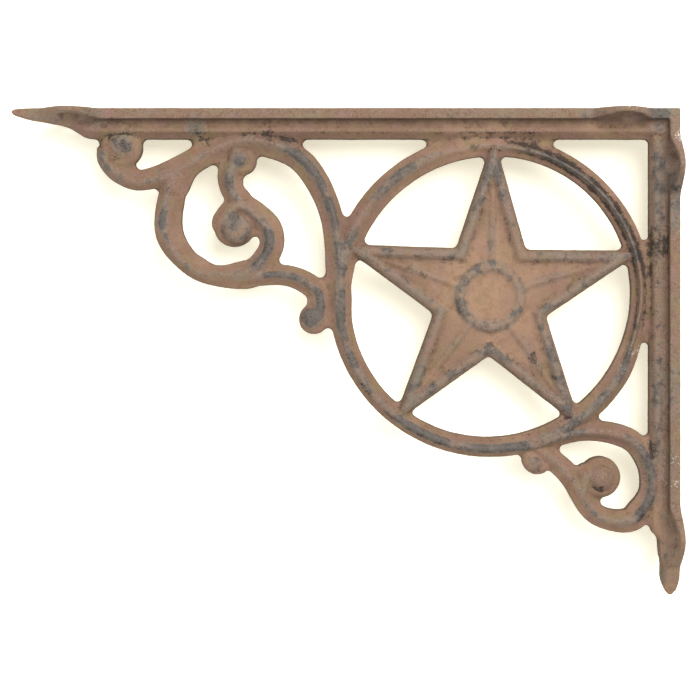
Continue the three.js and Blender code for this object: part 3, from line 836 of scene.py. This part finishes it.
def insideStar(out, below):
    # How far a place is inside the star's outline, and from its centre
    right, up = starSizes["out"] - out, starSizes["below"] - below
    radius = np.hypot(right, up)
    armSpan = 2 * math.pi / 5
    angle = np.arctan2(right, up) + math.radians(starSizes["turnDegrees"])
    fromArm = np.abs((angle + armSpan / 2) % armSpan - armSpan / 2)
    across, along = radius * np.sin(fromArm), radius * np.cos(fromArm)
    notchAcross = starSizes["notch"] * math.sin(armSpan / 2)
    notchAlong = starSizes["notch"] * math.cos(armSpan / 2)
    side = math.hypot(notchAcross, starSizes["tip"] - notchAlong)
    inward = ((notchAcross - across) * (starSizes["tip"] - notchAlong)
              + (notchAlong - along) * notchAcross) / side
    return inward, radius


def armStreaks(out, below, streaks):
    # A streak down the ridge of each arm of the star
    share = np.zeros(len(out))
    for arm in range(5):
        angle = arm * 2 * math.pi / 5 - math.radians(starSizes["turnDegrees"])
        right, up = starSizes["out"] - out, starSizes["below"] - below
        along = right * math.sin(angle) + up * math.cos(angle)
        across = right * math.cos(angle) - up * math.sin(angle)
        beyond = (along - streaks["middles"][arm]) / streaks["halfLength"]
        streak = np.exp(-(across / streaks["halfWidth"]) ** 2 - beyond ** 4)
        share = np.maximum(share, streak * streaks["strengths"][arm])
    return share


def eased(values, low, high):
    share = np.clip((values - low) / (high - low), 0.0, 1.0)
    return share * share * (3.0 - 2.0 * share)


def grooves(out, below):
    right, up = ringSizes["out"] - out, ringSizes["below"] - below
    angle = np.degrees(np.arctan2(right, up)) % 360
    half = (ringSizes["outer"] - ringSizes["inner"]) / 2
    crest = (ringSizes["inner"] + ringSizes["outer"]) / 2 - half * ringSizes["lean"]
    share = np.zeros(len(out))
    for first, last, offset, width, strength in grooveSizes["ring"]:
        inReach = eased(angle, first - grooveSizes["fade"], first)
        inReach *= 1.0 - eased(angle, last, last + grooveSizes["fade"])
        beside = (np.hypot(right, up) - crest - offset) / width
        share = np.maximum(share, strength * np.exp(-beside ** 2) * inReach)
    inward, radius = insideStar(out, below)
    middle, width, strength = grooveSizes["star"]
    besideBorder = strength * np.exp(-((inward - middle) / width) ** 2) * (radius < ringSizes["inner"])
    share = np.maximum(share, np.maximum(besideBorder, armStreaks(out, below, armDirtSizes)))
    fadeStart, fadeEnd = grooveSizes["fromTip"]
    for name, across, along in (("shelf", below, out), ("wall", out, below)):
        length = borderSizes[name]["length"]
        inBorder = eased(along, *grooveSizes["fromCorner"])
        inBorder *= 1.0 - eased(along, length - fadeStart, length - fadeEnd)
        for middle, width, strength in grooveSizes[name]:
            share = np.maximum(share, strength * np.exp(-((across - middle) / width) ** 2) * inBorder)
    return share


def starStand(out, below):
    # Only the star's border band and the ring around its boss stand open to rubbing
    inward, radius = insideStar(out, below)
    band = 1.0 - eased(inward, *wearSizes["starBand"])
    bossRing = eased(radius, *wearSizes["bossRise"]) * (1.0 - eased(radius, *wearSizes["bossFall"]))
    return np.maximum(band, bossRing)


def standing(out, below, depth, onFlange, underFlange):
    # How far a place at the front is open to rubbing
    inRing = 1.0 - eased(np.hypot(out - ringSizes["out"], below - ringSizes["below"]),
                         ringSizes["inner"] - 1.0, ringSizes["inner"])
    inShelf = (1.0 - eased(below, *wearSizes["shelfBelow"])) * eased(out, *wearSizes["shelfOut"])
    inWall = 1.0 - eased(out, *wearSizes["wallOut"])
    level = wearSizes["barLevel"] + (wearSizes["starLevel"] - wearSizes["barLevel"]) * inRing
    level += (wearSizes["shelfLevel"] - wearSizes["barLevel"]) * inShelf
    stand = eased(depth - level, 0.0, wearSizes["rubbedAbove"])
    stand *= 1.0 - inRing * (1.0 - wearSizes["starRub"] * starStand(out, below))
    stand *= 1.0 - (1.0 - wearSizes["wallRub"]) * inWall
    return stand * (1.0 - np.maximum(onFlange, underFlange)) + wearSizes["flangeRub"] * onFlange


def addWear(mesh):
    count = len(mesh.vertices)
    places = threeEach(mesh.vertices, "co") / mm
    normals = threeEach(mesh.vertex_normals, "vector")
    edges = np.empty(len(mesh.edges) * 2, dtype=np.int64)
    mesh.edges.foreach_get("vertices", edges)
    edges = edges.reshape(-1, 2)
    weights = np.maximum(np.bincount(edges.ravel(), minlength=count), 1).astype(float)
    near = averaged(places, edges, weights, wearSizes["nearTimes"])
    far = averaged(near, edges, weights, wearSizes["farTimes"] - wearSizes["nearTimes"])
    nearRise, farRise = [np.einsum("ij,ij->i", places - average, normals) for average in (near, far)]
    setAttribute(mesh, "nearRise", nearRise)
    setAttribute(mesh, "farRise", farRise)

    out, below, depth = -places[:, 0], shelfFace - places[:, 2], -places[:, 1]
    onFlange = eased(depth, *wearSizes["onFlange"])
    underFlange = 1.0 - eased(np.minimum(below, out), *wearSizes["underFlange"])
    atFront = eased(depth, *wearSizes["front"])
    backEdges = wearSizes["backRub"] * (1.0 - atFront) * eased(farRise, *wearSizes["backEdge"])
    setAttribute(mesh, "stand", np.maximum(standing(out, below, depth, onFlange, underFlange), backEdges))
    # Painted shade on the sides that turn away from the front, less of it on and under the flanges
    flankShade = eased(1.0 - np.abs(normals[:, 1]), *wearSizes["flankShade"])
    flankShade *= 1.0 - (1.0 - wearSizes["flangeFlankShade"]) * np.maximum(onFlange, underFlange)
    setAttribute(mesh, "flankShade", flankShade)
    setAttribute(mesh, "armRub", armStreaks(out, below, armRubSizes) * atFront)
    # Dark lines in grooves and creases; those on the wall's border are painted shade
    setAttribute(mesh, "groove", grooves(out, below) * (1.0 - onFlange) * atFront)

    for name, spots in wearPlaces.items():
        share = np.zeros(count)
        for spotOut, spotBelow, radius, strength in spots:
            distance = np.hypot(out - spotOut, below - spotBelow) / radius
            share = np.maximum(share, strength * np.exp(-distance ** 4))
        share = share + wearSizes["flangePale"] * onFlange if name == "paleAndPaintedLightPlace" else share * atFront
        if name == "dirtPlace":
            share += wearSizes["backDirt"] * (1.0 - atFront)
        if name == "chipAndGlintPlace":
            share *= eased(-normals[:, 1], *wearSizes["chipAndGlintFacing"])
        setAttribute(mesh, name, share)


# Shader node group: noises from a fine grain to broad patches, all on object coordinates
def buildGrainGroup():
    tree = bpy.data.node_groups.new("cast grain", "ShaderNodeTree")
    sizes = {"Grain": (5.0, 0.75), "Speckle": (4.0, 0.7), "Blotch": (4.0, 0.65), "Tint": (3.0, 0.55),
             "Patches": (3.0, 0.6)}  # detail and roughness
    apart = (0.37, 0.19, 0.53)  # each noise is moved, so that no two are alike
    for label in sizes:
        tree.interface.new_socket(label + " Size", in_out="INPUT", socket_type="NodeSocketFloat")
        tree.interface.new_socket(label, in_out="OUTPUT", socket_type="NodeSocketFloat")
    kit = NodeKit(tree)
    given = kit.node("NodeGroupInput")
    result = kit.node("NodeGroupOutput")
    spot = kit.node("ShaderNodeTexCoord").outputs["Object"]
    for step, (label, (detail, roughness)) in enumerate(sizes.items()):
        moved = kit.vector("ADD", spot, [move * step for move in apart])
        noise = kit.node("ShaderNodeTexNoise", {
            "Vector": moved, "Scale": kit.math("DIVIDE", 1.0, given.outputs[label + " Size"]),
            "Detail": detail, "Roughness": roughness})
        kit.feed(result.inputs[label], noise.outputs["Fac"])
    return tree


grainGroup = buildGrainGroup()
grainSizes = {"Grain Size": 0.00058, "Speckle Size": 0.0009, "Blotch Size": 0.0032, "Tint Size": 0.0065,
              "Patches Size": 0.017}
# Painted light among these colours: the two darkest browns are painted shade in the hollows and on the
# sides, the black is dirt and painted shade in creases, and the chip colour is pale chips and painted
# highlights
ironColours = {
    "rust": (0.178, 0.110, 0.074), "paleRust": (0.258, 0.162, 0.106), "orangeRust": (0.210, 0.112, 0.061),
    "palest": (0.306, 0.192, 0.112), "mauveRust": (0.213, 0.124, 0.098), "oliveRust": (0.196, 0.139, 0.076),
    "hollowShade": (0.080, 0.054, 0.038), "paintedFlankShade": (0.080, 0.057, 0.036), "pit": (0.056, 0.040, 0.031),
    "rubbed": (0.158, 0.127, 0.103), "paleRub": (0.225, 0.172, 0.138), "tealRub": (0.126, 0.124, 0.107),
    "steel": (0.088, 0.080, 0.074), "dirtAndShadeBlack": (0.018, 0.015, 0.014), "chipAndGlint": (0.55, 0.52, 0.46)}
# How the finish is mixed. A pair is where a mask starts and where it is full, and a single value is how
# much of something counts, such as of a noise or of a kind of wear.
rustMix = {"pale": (0.42, 0.66), "paleShare": 0.75, "palest": (0.6, 1.3), "palestBlotch": 0.4,
           "orange": (0.5, 0.62), "orangeShare": 0.5, "tintShare": 0.65, "tintPale": -0.35,
           "olive": (0.47, 0.37), "oliveGrain": 0.3, "mauve": (0.52, 0.62), "mauveGrain": 0.5,
           "sunk": (0.004, 0.06), "sunkFar": 0.12, "hollowShadeShare": 0.3, "hollowShadeBlotch": 1.5, "hollowShadePale": -0.2,
           "flankShadeShare": 0.8}
rubMix = {"everywhere": 0.5, "place": 0.6, "patches": 2.0, "blotch": 1.0, "arm": 0.85, "grey": 0.75,
          "rubbed": (0.2, 0.75), "grain": 4.2, "speckle": 1.4, "onlyWhere": (0.02, 0.2), "share": 0.85,
          "teal": (0.5, 0.4), "tealShare": 0.7, "pale": (0.5, 0.62),
          "steel": (0.6, 1.1), "steelBlotch": 1.8, "steelGrain": 1.8, "steelShare": 0.85}
dirtAndShadeMix = {"dirtAndShadeAmount": (0.38, 0.85), "place": 0.42, "placeSunk": 0.35, "sunk": 0.12, "groove": 0.72,
           "speckle": 2.0, "blotch": 1.8, "share": 0.85,
           "pits": (0.46, 0.37), "pitBlotch": -0.3, "pitGrain": 0.8, "pitShare": 0.3, "pitRubbed": 0.55,
           "pitDirt": 0.3, "pitPale": -0.2}
chipAndGlintMix = {"chipsAndGlints": (1.05, 1.25), "speckle": 2.4, "grain": 3.0}
surfaceMix = {"roughness": 0.8, "rubbedSmoother": 0.25, "rubbedMetallic": 0.2, "specular": 0.25,
              "bumpSpeckle": 0.8, "bumpStrength": 0.6, "bumpDistance": 0.0004}


class FinishKit(NodeKit):
    def span(self, value, ends):
        made = self.node("ShaderNodeMapRange", {"Value": value, "From Min": ends[0], "From Max": ends[1]},
                         interpolation_type="SMOOTHSTEP")
        return made.outputs[0]

    def part(self, value, amount):
        return self.math("MULTIPLY", value, amount)

    def swing(self, noise, amount):
        middle = 0.5
        return self.math("MULTIPLY", self.math("SUBTRACT", noise, middle), amount)

    def total(self, first, *others):
        for other in others:
            first = self.math("ADD", first, other)
        return first

    def mixed(self, share, first, second):
        made = self.node("ShaderNodeMix", data_type="RGBA")
        self.feed(made.inputs["Factor"], share)
        for socket, value in ((made.inputs["A"], first), (made.inputs["B"], second)):
            self.feed(socket, value if isinstance(value, bpy.types.NodeSocket) else (*value, 1.0))
        return made.outputs["Result"]


def rustColour(kit, noise, wear, sunk):
    # Brown in broad patches, paler on the star and painted lighter on two ears, blotched and tinted, with
    # painted shade in the hollows and on the sides
    mix = rustMix
    pale = kit.total(kit.span(noise["Patches"], mix["pale"]), wear["paleAndPaintedLightPlace"])
    base = kit.mixed(kit.math("MINIMUM", kit.part(pale, mix["paleShare"]), 1.0),
                     ironColours["rust"], ironColours["paleRust"])
    palest = kit.total(wear["paleAndPaintedLightPlace"], kit.swing(noise["Blotch"], mix["palestBlotch"]))
    base = kit.mixed(kit.span(palest, mix["palest"]), base, ironColours["palest"])
    base = kit.mixed(kit.part(kit.span(noise["Blotch"], mix["orange"]), mix["orangeShare"]), base,
                     ironColours["orangeRust"])
    tintShare = kit.total(mix["tintShare"], kit.part(wear["paleAndPaintedLightPlace"], mix["tintPale"]))
    for name in ("olive", "mauve"):
        tint = kit.total(noise["Tint"], kit.swing(noise["Grain"], mix[name + "Grain"]))
        base = kit.mixed(kit.part(kit.span(tint, mix[name]), tintShare), base, ironColours[name + "Rust"])
    # Painted shade: a dark brown in the hollows
    hollowShadeShare = kit.total(mix["hollowShadeShare"], kit.swing(noise["Blotch"], mix["hollowShadeBlotch"]),
                          kit.part(wear["paleAndPaintedLightPlace"], mix["hollowShadePale"]))
    base = kit.mixed(kit.part(sunk, hollowShadeShare), base, ironColours["hollowShade"])
    # Painted shade: a dark brown on the sides
    return kit.mixed(kit.part(wear["flankShade"], mix["flankShadeShare"]), base, ironColours["paintedFlankShade"])


def rubbedColour(kit, noise, wear, base):
    # Rubbed grey on what stands out, down to bare iron on the highest places
    mix = rubMix
    strength = kit.total(mix["everywhere"], kit.part(wear["rubPlace"], mix["place"]),
                         kit.swing(noise["Patches"], mix["patches"]),
                         kit.swing(noise["Blotch"], mix["blotch"]))
    amount = kit.total(kit.part(wear["stand"], strength), kit.part(wear["armRub"], mix["arm"]),
                       kit.part(wear["greyPlace"], mix["grey"]))
    speckled = kit.total(amount, kit.swing(noise["Grain"], mix["grain"]),
                         kit.swing(noise["Speckle"], mix["speckle"]))
    rubbed = kit.part(kit.span(speckled, mix["rubbed"]), kit.span(amount, mix["onlyWhere"]))
    grey = kit.mixed(kit.part(kit.span(noise["Tint"], mix["teal"]), mix["tealShare"]),
                     ironColours["rubbed"], ironColours["tealRub"])
    grey = kit.mixed(kit.span(noise["Grain"], mix["pale"]), grey, ironColours["paleRub"])
    base = kit.mixed(kit.part(rubbed, mix["share"]), base, grey)
    steel = kit.total(amount, kit.swing(noise["Blotch"], mix["steelBlotch"]),
                      kit.swing(noise["Grain"], mix["steelGrain"]))
    base = kit.mixed(kit.part(kit.span(steel, mix["steel"]), mix["steelShare"]), base, ironColours["steel"])
    return base, rubbed


def dirtAndShadeColour(kit, noise, wear, base, sunk, rubbed):
    # Black where dirt lies thick and along the grooves, and a little in every hollow as painted shade; the
    # wall border's lines in the grooves are painted shade. Dark pits where the skin is worn or dirty
    mix = dirtAndShadeMix
    inPlace = kit.part(wear["dirtPlace"], kit.total(mix["place"], kit.part(sunk, mix["placeSunk"])))
    dirtAndShadeAmount = kit.total(kit.part(sunk, mix["sunk"]), inPlace, kit.part(wear["groove"], mix["groove"]),
                      kit.swing(noise["Speckle"], mix["speckle"]),
                      kit.swing(noise["Blotch"], mix["blotch"]))
    base = kit.mixed(kit.part(kit.span(dirtAndShadeAmount, mix["dirtAndShadeAmount"]), mix["share"]), base, ironColours["dirtAndShadeBlack"])
    pitted = kit.total(mix["pitShare"], kit.part(rubbed, mix["pitRubbed"]),
                       kit.part(wear["dirtPlace"], mix["pitDirt"]),
                       kit.part(wear["paleAndPaintedLightPlace"], mix["pitPale"]))
    pits = kit.total(noise["Speckle"], kit.swing(noise["Blotch"], mix["pitBlotch"]),
                     kit.swing(noise["Grain"], mix["pitGrain"]))
    return kit.mixed(kit.part(kit.span(pits, mix["pits"]), pitted), base, ironColours["pit"])


def chipAndGlintColour(kit, noise, wear, base):
    # Pale chips at a few edges, and painted highlights as white specks on some crests
    chipsAndGlints = kit.total(wear["chipAndGlintPlace"], kit.swing(noise["Speckle"], chipAndGlintMix["speckle"]),
                      kit.swing(noise["Grain"], chipAndGlintMix["grain"]))
    return kit.mixed(kit.span(chipsAndGlints, chipAndGlintMix["chipsAndGlints"]), base, ironColours["chipAndGlint"])


def ironMaterial():
    material = bpy.data.materials.new("rustyCastIron")
    material.use_nodes = True
    material.node_tree.nodes.clear()
    kit = FinishKit(material.node_tree)
    output = kit.node("ShaderNodeOutputMaterial")
    shader = kit.node("ShaderNodeBsdfPrincipled")
    kit.feed(output.inputs["Surface"], shader.outputs[0])
    noise = kit.node("ShaderNodeGroup", grainSizes, node_tree=grainGroup).outputs
    wear = {name: kit.node("ShaderNodeAttribute", attribute_name=name).outputs["Fac"]
            for name in ("nearRise", "farRise", "stand", "flankShade", "groove", "armRub", *wearPlaces)}
    # How sunk each place is: it paints shade in the hollows and adds to the black
    rise = kit.total(wear["nearRise"], kit.part(wear["farRise"], rustMix["sunkFar"]))
    sunk = kit.span(kit.part(rise, -1.0), rustMix["sunk"])
    base = rustColour(kit, noise, wear, sunk)
    base, rubbed = rubbedColour(kit, noise, wear, base)
    base = dirtAndShadeColour(kit, noise, wear, base, sunk, rubbed)
    kit.feed(shader.inputs["Base Color"], chipAndGlintColour(kit, noise, wear, base))
    smoother = kit.part(rubbed, surfaceMix["rubbedSmoother"])
    kit.feed(shader.inputs["Roughness"], kit.math("SUBTRACT", surfaceMix["roughness"], smoother))
    kit.feed(shader.inputs["Metallic"], kit.part(rubbed, surfaceMix["rubbedMetallic"]))
    shader.inputs["Specular IOR Level"].default_value = surfaceMix["specular"]
    bump = kit.node("ShaderNodeBump", {
        "Height": kit.total(noise["Grain"], kit.swing(noise["Speckle"], surfaceMix["bumpSpeckle"])),
        "Strength": surfaceMix["bumpStrength"], "Distance": surfaceMix["bumpDistance"]})
    kit.feed(shader.inputs["Normal"], bump.outputs[0])
    return material


rustyIron = ironMaterial()
castMesh = castBracket()
addWear(castMesh)
castMesh = thinned(withSkin(castMesh, rustyIron))
keepInside(castMesh)
castMesh.shade_smooth()
castMesh.name = "castBracket"
castBracketPiece = addObject("castBracket", castMesh)
print("cast bracket:", len(castMesh.polygons), "faces")
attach(castBracketPiece, "root")
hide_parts("bracket")


# The pale surface that it lies on, seen only from its front
stageSizes = {"halfSize": 1.5, "gap": 1.0, "colour": (0.86, 0.85, 0.79), "roughness": 0.9,
              "glow": (1.0, 0.96, 0.72), "glowStrength": 0.45}


def paleSurface():
    material = bpy.data.materials.new("palePaper")
    material.use_nodes = True
    material.node_tree.nodes.clear()
    kit = NodeKit(material.node_tree)
    output = kit.node("ShaderNodeOutputMaterial")
    paper = kit.node("ShaderNodeBsdfPrincipled", {
        "Base Color": (*stageSizes["colour"], 1.0), "Roughness": stageSizes["roughness"],
        "Emission Color": (*stageSizes["glow"], 1.0), "Emission Strength": stageSizes["glowStrength"]})
    clear = kit.node("ShaderNodeBsdfTransparent")
    side = kit.node("ShaderNodeNewGeometry").outputs["Backfacing"]
    blend = kit.node("ShaderNodeMixShader", {0: side, 1: paper.outputs[0], 2: clear.outputs[0]})
    kit.feed(output.inputs["Surface"], blend.outputs[0])
    half = stageSizes["halfSize"]
    behind = frameHigh[1] + stageSizes["gap"] * mm
    surface = bpy.data.meshes.new("paleSurface")
    corners = ((-half, behind, -half), (half, behind, -half), (half, behind, half), (-half, behind, half))
    surface.from_pydata(corners, [], [(0, 1, 2, 3)])
    surface.materials.append(material)
    return addObject("paleSurface", surface)


paleSurface()

# A large soft light from the upper right, a weaker one from the left, both aimed at one place, and the sky
lightAim = Vector((-0.11, 0.0, 0.0))
skySetup = {"colour": (1.0, 0.99, 0.97, 1.0), "strength": 0.62}
lightSetup = {
    "key": {"place": (0.2, -0.95, 0.45), "size": 0.7, "power": 16.0, "colour": (1.0, 0.97, 0.93)},
    "fill": {"place": (-0.6, -1.0, -0.1), "size": 1.2, "power": 3.0, "colour": (0.95, 0.97, 1.0)}}
for name, setup in lightSetup.items():
    lamp = bpy.data.lights.new(name, "AREA")
    lamp.size = setup["size"]
    lamp.energy = setup["power"]
    lamp.color = setup["colour"]
    lampObject = addObject(name, lamp)
    lampObject.location = setup["place"]
    lampObject.rotation_euler = (lightAim - Vector(setup["place"])).to_track_quat("-Z", "Y").to_euler()

world = bpy.data.worlds.new("softWorld")
scene.world = world
world.use_nodes = True
background = world.node_tree.nodes["Background"]
background.inputs["Color"].default_value = skySetup["colour"]
background.inputs["Strength"].default_value = skySetup["strength"]
scene.view_settings.view_transform = "Standard"
print("stage and lights set up")

# The camera looks square at the web. The frame's width is that of what it sees in the middle plane.
cameraSizes = {"out": 115.5, "below": 49.7, "distance": 560.0, "frameWidth": 247.6, "sensor": 36.0,
               "shift": -1 / 7, "nearest": 0.01}
camera = bpy.data.cameras.new("camera")
camera.sensor_width = cameraSizes["sensor"]
camera.lens = cameraSizes["sensor"] * cameraSizes["distance"] / cameraSizes["frameWidth"]
camera.shift_y = cameraSizes["shift"]
camera.clip_start = cameraSizes["nearest"]
cameraObject = addObject("camera", camera)
cameraObject.location = webPoint(cameraSizes["out"], cameraSizes["below"], cameraSizes["distance"])
cameraObject.rotation_euler = (math.pi / 2, 0.0, 0.0)
scene.camera = cameraObject
